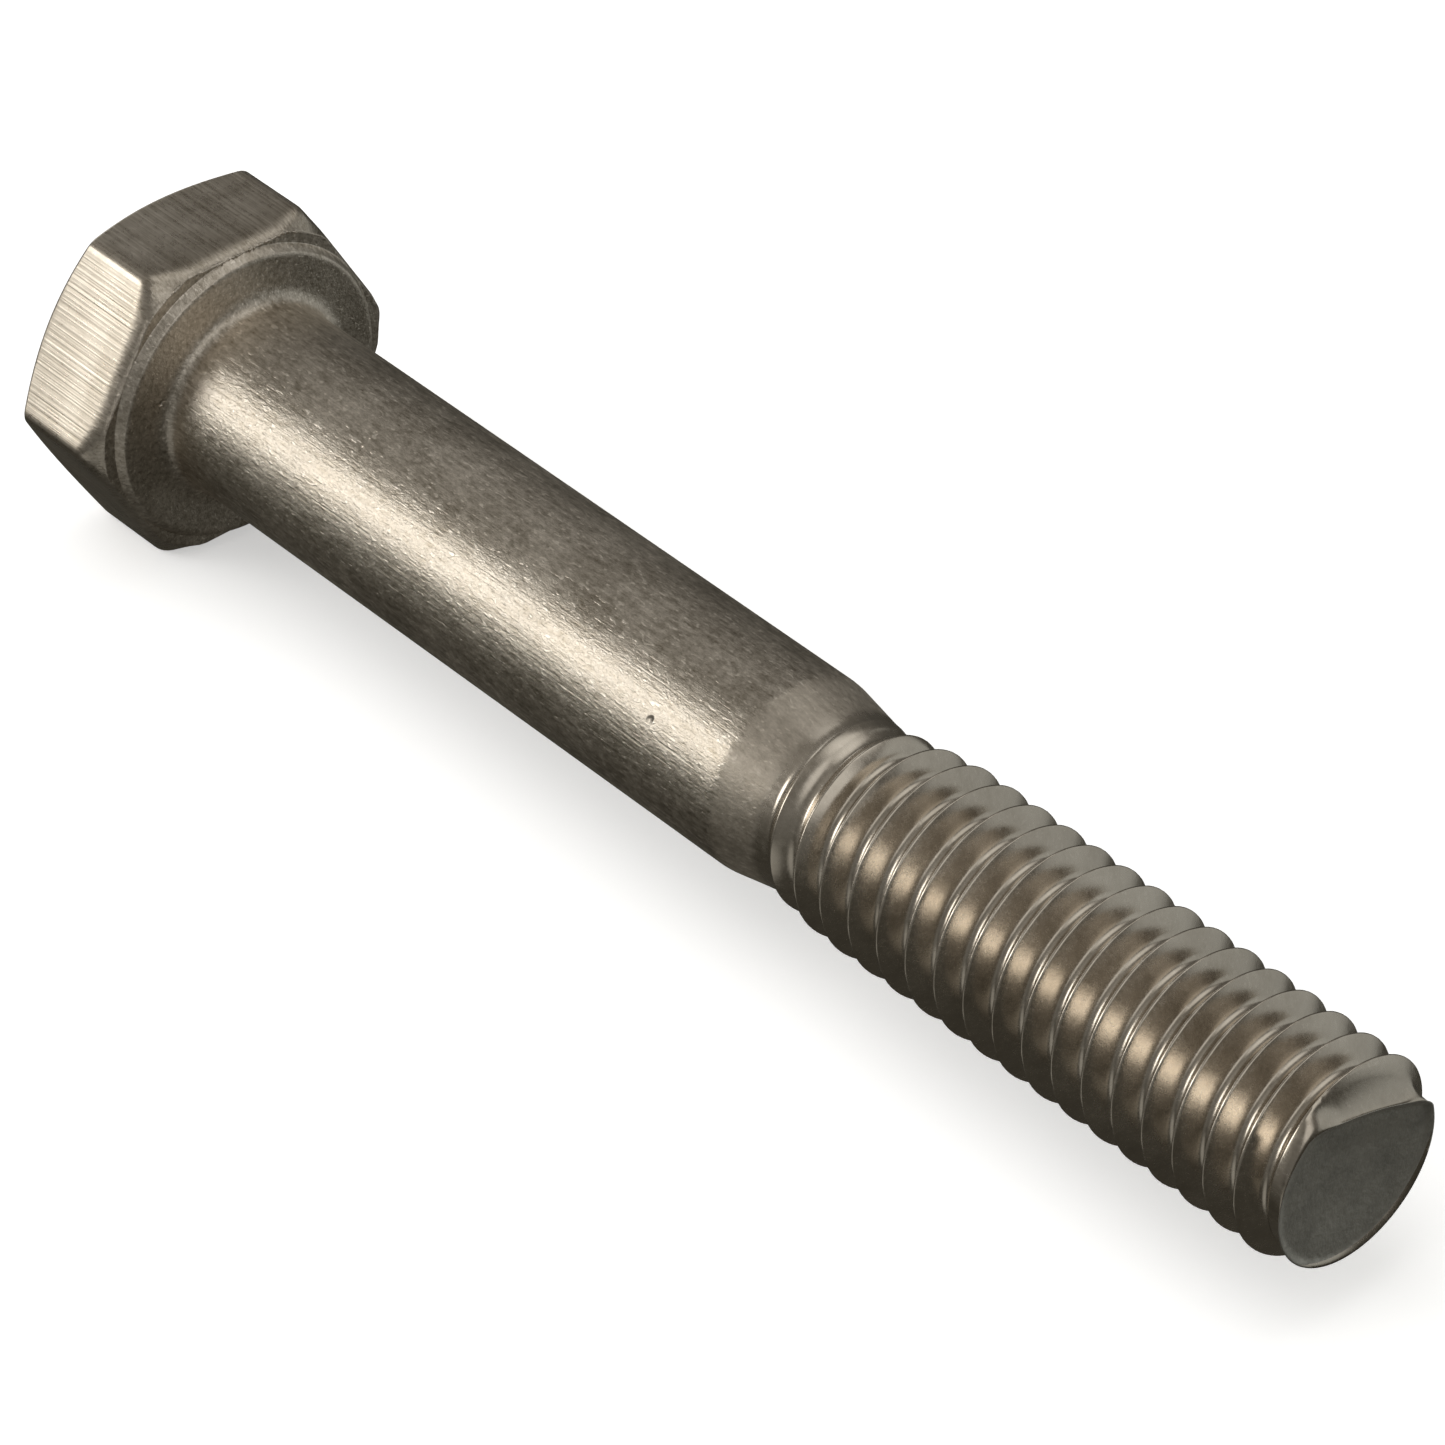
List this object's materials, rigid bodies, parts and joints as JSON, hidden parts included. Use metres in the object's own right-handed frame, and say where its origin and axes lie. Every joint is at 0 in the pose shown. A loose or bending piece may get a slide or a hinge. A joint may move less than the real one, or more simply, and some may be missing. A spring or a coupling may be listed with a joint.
{
  "type": "hex bolt",
  "caption": "Hex-head bolt with a washer face under the head, a plain shank and a partly threaded end with a dished point.",
  "frame": {"origin": "centre of the bearing face under the head, on the bolt's axis", "axes": "+X along the shank to the threaded point, +Z out of one wrench flat, so the bolt lies on the opposite flat, right-handed"},
  "size_m": [0.0623, 0.0142, 0.0124],
  "materials": {
    "steel": "satin stainless steel, bright on the rolled thread crests"
  },
  "bodies": {
    "root": {"hex_bolt": "steel"}
  },
  "joints": []
}
